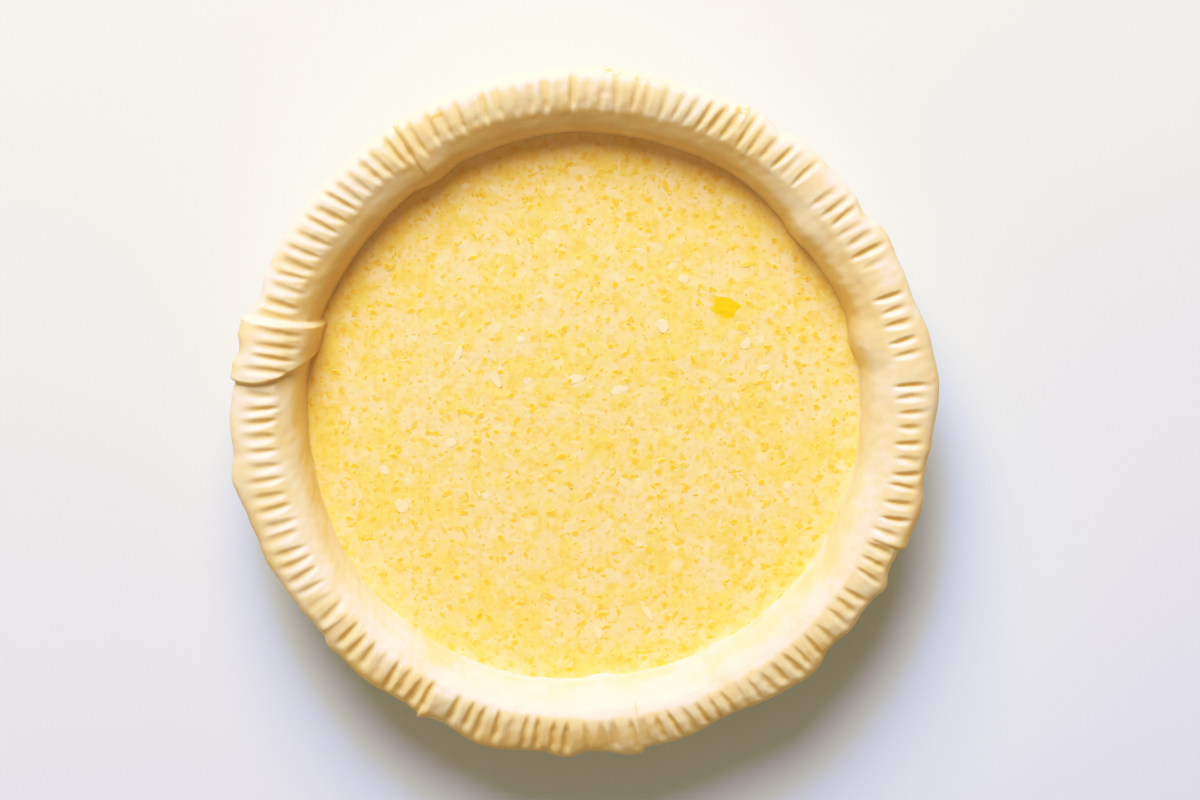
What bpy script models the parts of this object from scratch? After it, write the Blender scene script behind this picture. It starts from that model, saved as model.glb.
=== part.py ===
"""Unbaked coconut pie in its plain nine-inch pie dish.

Metres, +Z up. The origin is the middle of the dish's flat base. Seen from above, +Y is the far side and
angles run anticlockwise from +X. The pie is three solids: the dish, the dough that lines it and folds over
its rim, and the coconut filling poured in. Meshed neighbours keep CLEARANCE between them.
"""

import math
import random
from collections import namedtuple

import bmesh
import bpy
from mathutils import Vector

CLEARANCE = 0.0003
SEED = 9

# Dish: a plain stoneware pie dish, nine inches across inside its rim
DISH_COLUMNS = 72
DISH_HEIGHT = 0.038
DISH_THICKNESS = 0.0042
DISH_FLOOR_HEIGHT = 0.0045
DISH_FLOOR_RADIUS = 0.0890
DISH_INNER_WALL_FOOT = (0.0942, 0.0078)
DISH_INNER_WALL_TOP = (0.1122, 0.0350)
DISH_FLANGE_RADIUS = 0.1150
DISH_LIP_RADIUS = 0.1216
DISH_FOOT_RADIUS = 0.0893
DISH_FOOT_EDGE = (0.0939, 0.0022)
DISH_OUTER_WALL_TOP_RADIUS = 0.1155

# Dough: thickness of the lining, and how far the folded rim stands up and out
DOUGH_THICKNESS = 0.0040
DOUGH_FLOOR_RADIUS = 0.0880
FILLING_FLOOR_RADIUS = 0.0876
FILL_HEIGHT = 0.0240
FILLING_GAP = 0.0004
RIM_LIFT = 0.0005
RIM_TILT = 0.23
EDGE_DROOP = 0.0007
DROOPING_REACH = 0.0026
LAP_THICKNESS = 0.0022

# Fork crimping: the runs of marks between bare places, each with its first and last angle and its count
MARK_RUNS = ((3.7, 6.3, 2), (11.9, 22.4, 5), (28.9, 43.7, 7), (48.8, 73.9, 11), (76.5, 81.4, 3), (84.1, 161.2, 31),
             (163.9, 171.2, 4), (175.4, 217.5, 17), (222.8, 241.2, 8), (246.3, 266.8, 9), (270.4, 317.6, 19),
             (321.3, 326.2, 3), (330.7, 335.6, 3), (339.4, 361.2, 9))
MARK_JITTER = 0.3
MARK_HALF_WIDTH = 0.75
MARK_DEPTH = 0.0013
CRIMP_RADIUS = 0.1156
FAINT_SHARE = 0.1
FAINT_DEPTH = 0.35

# Slant of the fork at places round the rim: angle, slant, both in degrees
SLANTS = ((20, 0), (50, -5), (68, -13), (79, -4), (100, -1), (125, 4), (147, 15), (155, 8), (175, 4), (200, 0),
          (228, 8), (245, 2), (270, 3), (288, 12), (300, 5), (312, 2), (320, -8), (345, 4), (380, 0))
# How hard the fork pressed at places round the rim
STRENGTHS = ((20, 0.9), (50, 0.8), (68, 0.7), (79, 0.45), (86, 0.85), (125, 0.85), (147, 0.75), (200, 0.75),
             (228, 0.95), (245, 1.1), (270, 1.25), (288, 1.1), (312, 1.0), (345, 0.9), (380, 0.9))

# Tabs and nicks of the hand-trimmed edge: angle, half width in degrees, reach (a nick's is negative)
EDGE_BASE = 0.0008
EDGE_TABS = ((7, 5, 0.0022), (15, 3, 0.0010), (32, 2.2, 0.0010), (36.8, 1.6, -0.0016), (50, 3, 0.0009),
             (56.5, 1.5, -0.0008), (60.5, 2, 0.0010), (95, 12, 0.0006), (158.8, 1.8, -0.0012),
             (168.3, 1.3, -0.0016), (182.5, 5.5, 0.0023), (191, 2.8, 0.0034), (196.5, 2.5, 0.0017),
             (205.5, 4.5, 0.0015), (218.5, 2.2, -0.0011), (222.3, 1.2, 0.0009), (231, 3, 0.0012),
             (240.8, 1.3, 0.0009), (253, 4, 0.0030), (260, 3.5, 0.0013), (266.8, 2, 0.0026), (277.5, 2.2, 0.0013),
             (296, 5, -0.0021), (310.5, 2.3, 0.0011), (316.5, 2.2, -0.0016), (325.5, 2.2, -0.0012),
             (330, 1.3, 0.0012), (336.5, 3.6, -0.0020), (345, 1.8, 0.0006), (350.5, 2.8, -0.0012))

# Thick places of the lining, where fingers pressed the dough up: angle, half width in degrees, thickness
WALL_SWELLS = ((15, 3.2, 0.0018), (40.5, 2.6, 0.0012), (42, 12, 0.0016), (95, 14, -0.0005), (122, 3, 0.0016),
               (138, 11, 0.0015), (232, 34, -0.0023), (273.5, 2, 0.0013), (299, 2.2, 0.0008), (338, 6, 0.0012))

# The lap, where a piece of the dough folds over its neighbour: the line it starts on, and the curve it ends on
LAP_START_ANGLE = 162.7
LAP_START_LEAN = 2.5
LAP_END_ANGLE = 173.6
LAP_END_SWEEP = 8.5
LAP_INNER_RADIUS = 0.0960
LAP_OUTER_RADIUS = 0.1210
LAP_SOFTNESS = 0.9

# Filling: coconut shreds and butter lumps that break its surface
SHREDS = 44
SHRED_LENGTH = (0.007, 0.014)
SHRED_WIDTH = 0.0016
SHRED_THICKNESS = 0.0010
SHRED_PROUD = 0.0004
LUMPS = 9
LUMP_RADIUS = (0.0012, 0.0022)
LUMP_DEPTH = 0.0006
BIG_LUMP_PLACE = (0.0506, 0.0371)
BIG_LUMP_RADIUS = 0.0048
TOPPING_REACH = 0.090

# A ring of the dough's section: where it lies, the way it faces in degrees above straight out, and how much of
# the fork's depth, of the edge's reach, of the lining's swell and of the rim's lift it takes
Row = namedtuple("Row", "radius height facing press edge swell lift")


def wall_radius(height):
    """Radius of the lining's inner face at a height: the dish's inner wall moved in by gap and thickness."""
    (foot_radius, foot_height), (top_radius, top_height) = DISH_INNER_WALL_FOOT, DISH_INNER_WALL_TOP
    slope = (top_radius - foot_radius) / (top_height - foot_height)
    sideways = (DOUGH_THICKNESS + CLEARANCE) * math.hypot(1, slope)
    return foot_radius + (height - foot_height) * slope - sideways


SUNK_ROWS = tuple(Row(wall_radius(height), height, 180, 0, 0, swell, 0)
                  for height, swell in ((0.0108, 0), (0.0175, 0.6), (FILL_HEIGHT, 1)))
SHOULDER_ROWS = (Row(0.1010, 0.0308, 165, 0, 0, 1, 0.35), Row(0.1032, 0.0372, 150, 0, 0, 0.9, 0.6),
                 Row(0.1062, 0.0409, 128, 0, 0, 0.55, 0.85), Row(0.1094, 0.0428, 115, 0, 0, 0.2, 1))
CRIMP_ROWS = (Row(0.1124, 0.0437, 104, 0.7, 0, 0, 1), Row(0.1155, 0.0441, 93, 1, 0.02, 0, 1),
              Row(0.1184, 0.0439, 80, 1, 0.14, 0, 1), Row(0.1209, 0.0432, 65, 0.8, 0.45, 0, 1),
              Row(0.1227, 0.0420, 45, 0.2, 0.82, 0, 1))
EDGE_ROWS = (Row(0.1236, 0.0390, 0, 0, 1, 0, 1), Row(0.1231, 0.0358, -50, 0, 0.9, 0, 1))
UNDER_EDGE = ((0.1224, 0.0354), (0.1213, 0.0385))


def clear_scene():
    for leftover in list(bpy.data.objects):
        bpy.data.objects.remove(leftover)


def finish(name, colour, roughness):
    """A plain material with the piece's colour."""
    made = bpy.data.materials.new(name)
    made.use_nodes = True
    shader = made.node_tree.nodes["Principled BSDF"]
    shader.inputs["Base Color"].default_value = (*colour, 1)
    shader.inputs["Roughness"].default_value = roughness
    shader.inputs["Metallic"].default_value = 0
    return made


def angle_gap(angle, place):
    """Signed degrees from a place round the rim to an angle, between -180 and 180."""
    return (angle - place + 180) % 360 - 180


def hill(distance, half_width):
    """A smooth hill of height 1 that falls to nothing at twice its half width."""
    share = min(1.0, abs(distance) / (2 * half_width))
    return (1 - share * share) ** 2


def smooth_step(value, width):
    """0 below -width, 1 above width, with a smooth rise between."""
    share = min(1.0, max(0.0, (value + width) / (2 * width)))
    return share * share * (3 - 2 * share)


def between_knots(knots, angle):
    """Straight-line reading of (angle, value) pairs, which cover a whole turn from the first knot's angle."""
    angle = knots[0][0] + (angle - knots[0][0]) % 360
    for (start, low), (end, high) in zip(knots, knots[1:]):
        if angle <= end:
            return low + (high - low) * (angle - start) / (end - start)
    return knots[-1][1]


def fork_marks():
    """(angle, slant, depth share) of each tine mark, in order round the rim."""
    draw = random.Random(SEED)
    marks = []
    for first, last, count in MARK_RUNS:
        for step in range(count):
            place = first + (last - first) * step / (count - 1)
            slant = between_knots(SLANTS, place) + draw.uniform(-5, 5)
            share = FAINT_DEPTH if draw.random() < FAINT_SHARE else draw.uniform(0.6, 1.1)
            share *= between_knots(STRENGTHS, place)
            marks.append((place + draw.uniform(-MARK_JITTER, MARK_JITTER), slant, share))
    return marks


def edge_reach(angle):
    """How far the trimmed edge stands out past its plain circle: a base, two small waves and the tabs."""
    turn = math.radians(angle)
    wander = 0.0002 * math.sin(13 * turn + 0.6) + 0.00015 * math.sin(29 * turn)
    tabs = sum(reach * hill(angle_gap(angle, place), width) for place, width, reach in EDGE_TABS)
    return EDGE_BASE + wander + tabs


def rim_lift(angle, radius):
    """Slow rise and fall of the folded rim, which leans inwards at the far side and outwards at the near side."""
    turn = math.radians(angle)
    waves = math.sin(2 * turn + 1.1) + 0.7 * math.sin(5 * turn + 0.3) + 0.5 * math.sin(11 * turn)
    return RIM_LIFT * waves / 2 + RIM_TILT * math.sin(turn) * (radius - CRIMP_RADIUS)


def wall_swell(angle):
    """How much thicker than plain the lining is."""
    turn = math.radians(angle)
    wander = 0.0004 * math.sin(4 * turn + 0.9) + 0.0003 * math.sin(9 * turn + 2.4)
    return wander + sum(thick * hill(angle_gap(angle, place), width) for place, width, thick in WALL_SWELLS)


def lap_share(angle, radius):
    """1 on the folded-over lap, 0 off it: it runs from a slanting line to a curve that sweeps in to its tip."""
    reach = min(1.0, (radius - LAP_INNER_RADIUS) / (LAP_OUTER_RADIUS - LAP_INNER_RADIUS))
    if reach < 0:
        return 0.0
    start = LAP_START_ANGLE - LAP_START_LEAN * (1 - reach)
    end = LAP_END_ANGLE - LAP_END_SWEEP * (1 - reach) ** 2
    return smooth_step(angle - start, LAP_SOFTNESS) * smooth_step(end - angle, LAP_SOFTNESS)


def dough_point(row, angle, depth):
    """A point of the dough's shown side: its row's place, moved the way the row faces."""
    lap = LAP_THICKNESS * lap_share(angle % 360, row.radius) * (row.height > FILL_HEIGHT - 0.001)
    out = lap + row.swell * wall_swell(angle) - MARK_DEPTH * row.press * depth
    radius = row.radius + out * math.cos(math.radians(row.facing)) + row.edge * edge_reach(angle)
    height = row.height + out * math.sin(math.radians(row.facing)) + row.lift * rim_lift(angle, row.radius)
    return on_circle(radius, angle, height)


def on_circle(radius, angle, height):
    turn = math.radians(angle)
    return Vector((radius * math.cos(turn), radius * math.sin(turn), height))


def slid_angle(mark, radius):
    """Angle of a slanting mark at a radius, which is the mark's own angle at CRIMP_RADIUS."""
    angle, slant, _ = mark
    return angle + math.degrees(math.tan(math.radians(slant)) * (radius - CRIMP_RADIUS) / CRIMP_RADIUS)


def plain_ring(bm, row, marks):
    """One vertex for each mark."""
    return [bm.verts.new(dough_point(row, mark[0], 0)) for mark in marks]


def crimped_ring(bm, row, marks):
    """Three vertices for each mark: its two shoulders, with its bottom between them."""
    ring = []
    for mark in marks:
        middle = slid_angle(mark, row.radius)
        for side in (-1, 0, 1):
            ring.append(bm.verts.new(dough_point(row, middle + side * MARK_HALF_WIDTH, mark[2] * (side == 0))))
    return ring


def turned_ring(bm, radius, height, angles):
    return [bm.verts.new(on_circle(radius, angle, height)) for angle in angles]


def stitch(bm, first, second):
    """Joins two rings of one count by quads, or one ring to another with three times as many by fans."""
    few, many = (first, second) if len(first) <= len(second) else (second, first)
    if len(few) == len(many):
        for i in range(len(few)):
            bm.faces.new((few[i - 1], few[i], many[i], many[i - 1]))
        return
    for i, corner in enumerate(few):
        after = few[(i + 1) % len(few)]
        fine = [many[(3 * i + 1 + step) % len(many)] for step in range(4)]
        bm.faces.new((corner, fine[0], fine[1]))
        bm.faces.new((corner, fine[1], after))
        bm.faces.new((after, fine[1], fine[2]))
        bm.faces.new((after, fine[2], fine[3]))


def closed_object(name, bm, rings, material):
    """Joins the rings in turn, caps the first and the last, and makes the object."""
    for first, second in zip(rings, rings[1:]):
        stitch(bm, first, second)
    bm.faces.new(rings[0])
    bm.faces.new(rings[-1])
    return made_object(name, bm, material)


def made_object(name, bm, material):
    bmesh.ops.recalc_face_normals(bm, faces=bm.faces)
    mesh = bpy.data.meshes.new(name)
    bm.to_mesh(mesh)
    bm.free()
    mesh.shade_smooth()
    mesh.set_sharp_from_angle(angle=math.radians(35))
    made = bpy.data.objects.new(name, mesh)
    made.data.materials.append(material)
    bpy.context.scene.collection.objects.link(made)
    return made


def dish_inner_profile():
    """The dish's inside from its floor to the flat top of its flange."""
    return [(DISH_FLOOR_RADIUS, DISH_FLOOR_HEIGHT), DISH_INNER_WALL_FOOT, DISH_INNER_WALL_TOP,
            (DISH_FLANGE_RADIUS, DISH_HEIGHT)]


def moved_in(profile, distance):
    """A profile moved towards the axis and up by a distance, square to its own line."""
    moved = []
    for i, (radius, height) in enumerate(profile):
        before, after = profile[max(i - 1, 0)], profile[min(i + 1, len(profile) - 1)]
        along = Vector((after[0] - before[0], after[1] - before[1])).normalized()
        moved.append((radius - along.y * distance, height + along.x * distance))
    return moved


def build_dish():
    """Turned solid: flat base, slanting wall and a flange with a rounded lip."""
    lip = DISH_THICKNESS / 2
    lip_centre = (DISH_LIP_RADIUS - lip, DISH_HEIGHT - lip)
    rounded = [(lip_centre[0] + lip * math.cos(turn), lip_centre[1] + lip * math.sin(turn))
               for turn in (math.radians(degrees) for degrees in (-90, -30, 30, 90))]
    outside = [(DISH_FOOT_RADIUS, 0), DISH_FOOT_EDGE, (DISH_OUTER_WALL_TOP_RADIUS, DISH_HEIGHT - DISH_THICKNESS)]
    profile = outside + rounded + dish_inner_profile()[::-1]
    angles = [column * 360 / DISH_COLUMNS for column in range(DISH_COLUMNS)]
    bm = bmesh.new()
    rings = [turned_ring(bm, radius, height, angles) for radius, height in profile]
    return closed_object("dish", bm, rings, finish("dish_glaze", (0.86, 0.85, 0.82), 0.2))


def build_crust(marks):
    """The dough: a lining with a floor, and a folded rim that the fork has marked, over the dish's flange."""
    angles = [mark[0] for mark in marks]
    bm = bmesh.new()
    floor_height = DISH_FLOOR_HEIGHT + CLEARANCE + DOUGH_THICKNESS
    rings = [turned_ring(bm, DOUGH_FLOOR_RADIUS, floor_height, angles)]
    rings += [plain_ring(bm, row, marks) for row in SUNK_ROWS + SHOULDER_ROWS]
    rings += [crimped_ring(bm, row, marks) for row in CRIMP_ROWS]
    rings += [plain_ring(bm, row, marks) for row in EDGE_ROWS[:-1]]
    rings.append([bm.verts.new(dough_point(EDGE_ROWS[-1], angle, 0) - Vector((0, 0, EDGE_DROOP * droop(angle))))
                  for angle in angles])
    underside = list(UNDER_EDGE) + moved_in(dish_inner_profile(), CLEARANCE)[::-1]
    rings += [turned_ring(bm, radius, height, angles) for radius, height in underside]
    return closed_object("crust", bm, rings, finish("raw_dough", (0.86, 0.66, 0.38), 0.55))


def droop(angle):
    """How far the edge hangs down, as a share: most where it stands furthest out."""
    turn = math.radians(angle)
    return 0.5 + 0.5 * math.sin(6 * turn + 0.8) + (edge_reach(angle) - EDGE_BASE) / DROOPING_REACH


def build_filling(marks):
    """The poured filling, level with FILL_HEIGHT, with its shreds and butter lumps fused on."""
    angles = [mark[0] for mark in marks]
    bm = bmesh.new()
    floor_height = DISH_FLOOR_HEIGHT + CLEARANCE + DOUGH_THICKNESS + CLEARANCE
    rings = [turned_ring(bm, FILLING_FLOOR_RADIUS, floor_height, angles)]
    for row in SUNK_ROWS:
        rings.append(plain_ring(bm, row._replace(radius=row.radius - FILLING_GAP), marks))
    colour = finish("coconut_filling", (0.97, 0.72, 0.24), 0.3)
    filling = closed_object("filling", bm, rings, colour)
    toppings = bpy.data.collections.new("toppings")
    bpy.context.scene.collection.children.link(toppings)
    add_toppings(toppings, colour)
    fuse(filling, toppings)
    return filling


def add_toppings(toppings, colour):
    """Places shreds and lumps by a spiral of equal areas, so that they spread evenly and never meet."""
    draw = random.Random(SEED + 1)
    count = SHREDS + LUMPS
    for i in range(count):
        radius = TOPPING_REACH * math.sqrt((i + 0.5) / count)
        angle = math.degrees(i * math.pi * (3 - math.sqrt(5)))
        centre = on_circle(radius, angle, FILL_HEIGHT)
        if math.dist(centre.xy, BIG_LUMP_PLACE) < 3 * BIG_LUMP_RADIUS:
            continue
        turn = draw.uniform(0, math.pi)
        if i % (count // LUMPS) == 2:
            shape = lump(draw.uniform(*LUMP_RADIUS), centre, turn)
        else:
            shape = shred(draw.uniform(*SHRED_LENGTH), draw.uniform(-0.5, 0.5), centre, turn)
        add_topping(toppings, shape, colour, f"topping_{i}")
    add_topping(toppings, lump(BIG_LUMP_RADIUS, Vector((*BIG_LUMP_PLACE, FILL_HEIGHT)), 0.5), colour, "big_lump")


def add_topping(toppings, bm, colour, name):
    made = made_object(name, bm, colour)
    bpy.context.scene.collection.objects.unlink(made)
    toppings.objects.link(made)


def shred(length, curl, centre, turn):
    """A curled strip of coconut: four sections across a shallow arc, pointed at both ends."""
    bm = bmesh.new()
    sections = []
    for share, width in ((-0.5, 0.35), (-0.17, 1), (0.17, 1), (0.5, 0.35)):
        heading = turn + curl * share
        place = centre + length * share * Vector((math.cos(heading), math.sin(heading), 0))
        across = SHRED_WIDTH / 2 * width * Vector((-math.sin(heading), math.cos(heading), 0))
        top, bottom = SHRED_PROUD * (0.6 + 0.4 * width), SHRED_PROUD - SHRED_THICKNESS
        sections.append([bm.verts.new(place + side * across + Vector((0, 0, level)))
                         for side, level in ((-1, bottom), (1, bottom), (0.6, top), (-0.6, top))])
    for first, second in zip(sections, sections[1:]):
        for i in range(4):
            bm.faces.new((first[i - 1], first[i], second[i], second[i - 1]))
    bm.faces.new(sections[0])
    bm.faces.new(sections[-1])
    return bm


def lump(radius, centre, turn):
    """A flattened, six-sided bead of butter, mostly sunk."""
    bm = bmesh.new()
    levels = ((1.0, -LUMP_DEPTH), (0.9, SHRED_PROUD * 0.6), (0.45, SHRED_PROUD))
    rings = []
    for share, level in levels:
        rings.append([bm.verts.new(centre + Vector((radius * share * math.cos(turn + side * math.pi / 3),
                                                    0.7 * radius * share * math.sin(turn + side * math.pi / 3),
                                                    level))) for side in range(6)])
    for first, second in zip(rings, rings[1:]):
        stitch(bm, first, second)
    bm.faces.new(rings[0])
    bm.faces.new(rings[-1])
    return bm


def fuse(body, toppings):
    """Joins a collection's solids into the body, and removes the collection's objects."""
    union = body.modifiers.new("fuse", "BOOLEAN")
    union.operation = "UNION"
    union.operand_type = "COLLECTION"
    union.collection = toppings
    union.solver = "EXACT"
    graph = bpy.context.evaluated_depsgraph_get()
    graph.update()
    fused = bpy.data.meshes.new_from_object(body.evaluated_get(graph))
    body.modifiers.clear()
    body.data = fused
    for piece in list(toppings.objects):
        bpy.data.objects.remove(piece)
    bpy.data.collections.remove(toppings)


def main():
    clear_scene()
    marks = fork_marks()
    build_dish()
    build_crust(marks)
    build_filling(marks)


main()
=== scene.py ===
"""Looks of an unbaked coconut pie: raw dough, crimped with a fork over a plain dish, and a wet coconut filling.

Metres, +Z up. Seen from above, angles are degrees anticlockwise from +X, and +Y is the far side.
"""

import math
import random

import bpy
import numpy as np
from bpy.props import FloatProperty, FloatVectorProperty, IntProperty, PointerProperty
from mathutils import Matrix, Vector


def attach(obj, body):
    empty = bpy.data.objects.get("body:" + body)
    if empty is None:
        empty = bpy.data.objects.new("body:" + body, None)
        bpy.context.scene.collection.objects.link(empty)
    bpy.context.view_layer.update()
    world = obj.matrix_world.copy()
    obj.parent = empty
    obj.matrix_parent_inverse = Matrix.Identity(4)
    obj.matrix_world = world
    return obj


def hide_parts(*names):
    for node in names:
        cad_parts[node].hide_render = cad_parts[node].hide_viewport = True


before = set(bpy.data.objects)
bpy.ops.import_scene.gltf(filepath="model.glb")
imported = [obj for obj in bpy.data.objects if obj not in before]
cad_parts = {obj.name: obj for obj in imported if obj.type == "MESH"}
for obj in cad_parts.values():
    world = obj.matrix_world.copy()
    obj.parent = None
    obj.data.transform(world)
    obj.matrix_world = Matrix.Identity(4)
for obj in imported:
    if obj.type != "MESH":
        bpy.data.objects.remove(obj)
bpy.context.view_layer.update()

bl_info = {
    "name": "Coconut pie",
    "version": (1, 0, 0),
    "blender": (4, 5, 0),
    "location": "3D View > Sidebar > Pie",
    "description": "An unbaked coconut pie with a fork-crimped crust, in its dish",
    "category": "Object",
}

SEED = 9
CLEARANCE = 0.0003

# Dish
DISH_FLOOR_HEIGHT = 0.0045
DISH_INNER_WALL_FOOT = (0.0942, 0.0078)
DISH_INNER_WALL_TOP = (0.1122, 0.0350)

# Dough
DOUGH_THICKNESS = 0.0040
FILL_HEIGHT = 0.0240
RIM_LIFT = 0.0005
RIM_TILT = 0.23
EDGE_DROOP = 0.0007
LAP_THICKNESS = 0.0022

# Fork crimping: the runs of marks between bare places, each with its first and last angle and its count
MARK_RUNS = (
    (3.7, 6.3, 2), (11.9, 22.4, 5), (28.9, 43.7, 7), (48.8, 73.9, 11), (76.5, 81.4, 3), (84.1, 161.2, 31),
    (163.9, 171.2, 4), (175.4, 217.5, 17), (222.8, 241.2, 8), (246.3, 266.8, 9), (270.4, 317.6, 19),
    (321.3, 326.2, 3), (330.7, 335.6, 3), (339.4, 361.2, 9),
)
MARK_JITTER = 0.3
CRIMP_RADIUS = 0.1156
FAINT_SHARE = 0.1
# The fork's slant, and its depth against the plain one, at places round the rim
STROKES = (
    (20, 0, 0.9), (50, -5, 0.8), (68, -13, 0.7), (79, -4, 0.45), (86, -2, 0.85), (100, -1, 0.85), (125, 4, 0.85),
    (147, 15, 0.7), (155, 8, 0.7), (175, 4, 0.7), (200, 0, 0.65), (228, 8, 0.8), (245, 2, 0.9), (270, 3, 1.0),
    (288, 12, 0.9), (300, 5, 0.85), (312, 2, 0.85), (320, -8, 0.9), (345, 4, 0.85), (380, 0, 0.9),
)

# Where each mark lies along the dough's section, and how soft its two ends are
MARK_HALF_WIDTH = 0.0022
MARK_INNER_RADIUS = 0.1094
MARK_OUTER_RADIUS = 0.1226
MARK_INNER_SOFTNESS = 0.0025
MARK_OUTER_SOFTNESS = 0.0028
LAP_MARK_SHIFT = 0.0030
RIDGE_HEIGHT = 0.0004

# Uneven places: angle, half width in degrees, size
EDGE_BASE = 0.0008
EDGE_TABS = (
    (7, 5, 0.0022), (15, 3, 0.0010), (32, 2.2, 0.0010), (36.8, 1.6, -0.0016), (50, 3, 0.0009), (56.5, 1.5, -0.0008),
    (60.5, 2, 0.0010), (95, 12, 0.0006), (158.8, 1.8, -0.0012), (168.3, 1.3, -0.0016), (182.5, 5.5, 0.0023),
    (191, 2.8, 0.0034), (196.5, 2.5, 0.0017), (205.5, 4.5, 0.0015), (218.5, 2.2, -0.0011), (222.3, 1.2, 0.0009),
    (231, 3, 0.0012), (240.8, 1.3, 0.0009), (253, 4, 0.0030), (260, 3.5, 0.0013), (266.8, 2, 0.0026),
    (277.5, 2.2, 0.0013), (296, 5, -0.0021), (310.5, 2.3, 0.0011), (316.5, 2.2, -0.0016), (325.5, 2.2, -0.0012),
    (330, 1.3, 0.0012), (336.5, 3.6, -0.0020), (345, 1.8, 0.0006), (350.5, 2.8, -0.0012),
)
WALL_SWELLS = ((15, 3.2, 0.0018), (40.5, 2.6, 0.0012), (42, 12, 0.0016), (95, 14, -0.0005), (122, 3, 0.0016),
               (138, 11, 0.0015), (232, 34, -0.0023), (273.5, 2, 0.0013), (299, 2.2, 0.0008), (338, 6, 0.0012))
LAP_START_ANGLE = 162.7
LAP_START_LEAN = 2.5
LAP_END_ANGLE = 173.6
LAP_END_SWEEP = 8.5
LAP_INNER_RADIUS = 0.0960
LAP_OUTER_RADIUS = 0.1210
LAP_SOFTNESS = 0.35

# Pleats, where the dough overlaps itself: angle, which side the upper layer is on, reach of its edge, its
# thickness, how many degrees it takes to thin out, and its inner end
PLEATS = ((279.8, -1, 0.0006, 0.0010, 3.0, 0.106), (241.0, 1, 0.0008, 0.0009, 2.4, 0.113),
          (337.3, 1, 0.0012, 0.0010, 5.0, 0.112), (219.7, -1, 0.0003, 0.0005, 3.5, 0.111),
          (62.5, 1, 0.0002, 0.0007, 2.5, 0.118), (87.2, -1, 0.0003, 0.0006, 4.0, 0.118),
          (122.5, -1, 0.0004, 0.0009, 4.0, 0.1045))

# Painted shade on steps of the edge, where a thin ledge stands in shadow: angle, half width in degrees, radius
EDGE_SHADE_PLACES = ((81, 0.7, 0.1224), (84.8, 1.0, 0.1226), (86.6, 0.6, 0.1228), (115.5, 1.4, 0.1196),
              (63.5, 1.2, 0.1222))

# Strips of coconut and yolk: thickness, how far they stand proud, and the room they leave round the big lump
STRIP_THICKNESS = (0.0001, 0.00014)
STRIP_PROUD = (0.00001, 0.00004)
STRIP_ROOM = 0.0085

GOLDEN_TURN = math.pi * (3 - math.sqrt(5))


def colour_setting(name, description, default):
    """A colour with its name, description and default."""
    return FloatVectorProperty(name=name, description=description, default=default, subtype="COLOR", size=3,
                               min=0, max=1)


class CrustSettings(bpy.types.PropertyGroup):
    """Sizes and colours of the dough."""

    columns: IntProperty(name="Columns", description="Columns of the mesh round the rim", default=1320, min=360)
    mark_depth: FloatProperty(name="Mark depth", description="How deep the fork pressed", default=0.00112,
                              min=0, max=0.004, unit="LENGTH")
    lump_height: FloatProperty(name="Lump height", description="Unevenness of the rolled dough", default=0.00016,
                               min=0, max=0.001, unit="LENGTH")
    colour: colour_setting("Colour", "Raw dough", (0.87, 0.645, 0.288))
    pale_colour: colour_setting("Pale colour", "Floury patches of the dough", (0.90, 0.72, 0.38))
    # Painted shade: a little darker, yellower dough for the hollows of the fork's marks
    pressed_shade_colour: colour_setting("Pressed colour", "Dough in the fork's marks", (0.86, 0.64, 0.27))
    # Painted shade: a darker orange tone for the edge's steps that stand in shadow
    edge_shade_colour: colour_setting("Dry colour", "Torn, dry places of the edge", (0.80, 0.50, 0.15))


class FillingSettings(bpy.types.PropertyGroup):
    """Sizes and colours of the filling and what floats in it."""

    shreds: IntProperty(name="Shreds", description="Coconut shreds that break the surface", default=170, min=0)
    strands: IntProperty(name="Strands", description="Short strands coated in yolk and butter", default=260, min=0)
    specks: IntProperty(name="Specks", description="Specks of butter", default=950, min=0)
    base_colour: colour_setting("Custard", "Custard between the specks", (0.985, 0.685, 0.198))
    cream_colour: colour_setting("Cream", "Paler patches over sunk coconut", (1.0, 0.71, 0.31))
    coconut_colour: colour_setting("Coconut", "Coconut under the surface", (0.985, 0.75, 0.355))
    yolk_colour: colour_setting("Yolk", "Deeper yellow patches and strands", (0.975, 0.62, 0.16))
    speck_colour: colour_setting("Specks", "Golden specks", (0.94, 0.56, 0.09))
    blob_colour: colour_setting("Blobs", "Soft blobs of butter in the custard", (0.96, 0.535, 0.035))
    flake_colour: colour_setting("Flakes", "Pale coconut flakes", (0.97, 0.745, 0.345))
    butter_colour: colour_setting("Butter", "The large lump of butter", (0.98, 0.575, 0.012))


class StageSettings(bpy.types.PropertyGroup):
    """Floor, lights and camera."""

    floor_colour: colour_setting("Floor", "Pale worktop", (0.77, 0.78, 0.575))
    key_strength: FloatProperty(name="Key light", description="Soft light from the far side", default=60,
                                min=0, unit="POWER")
    left_strength: FloatProperty(name="Left light", description="Wide soft light from the left", default=0.9,
                                 min=0, unit="POWER")
    fill_strength: FloatProperty(name="Fill light", description="Light from all round", default=0.3, min=0)
    camera_distance: FloatProperty(name="Camera distance", description="From the rim's middle", default=1.2,
                                   min=0.3, unit="LENGTH")
    camera_tilt: FloatProperty(name="Camera tilt", description="From straight above, towards the far side",
                               default=math.radians(11.3), unit="ROTATION")


def angle_gap(angle, place):
    """Signed degrees from a place round the rim to an angle, between -180 and 180."""
    return (angle - place + 180) % 360 - 180


def smooth_step(value, width):
    """0 below -width, 1 above width, and between them three times the share squared less twice its cube."""
    share = np.clip((value + width) / (2 * width), 0, 1)
    return share * share * (3 - 2 * share)


def hill(distance, half_width):
    """One less the square of the distance over twice the half width, all squared; nothing beyond that."""
    share = np.minimum(1, np.abs(distance) / (2 * half_width))
    return (1 - share * share) ** 2


def hills(angles, places):
    """Sum of the hills of a list of uneven places."""
    return sum(size * hill(angle_gap(angles, place), width) for place, width, size in places)


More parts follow.
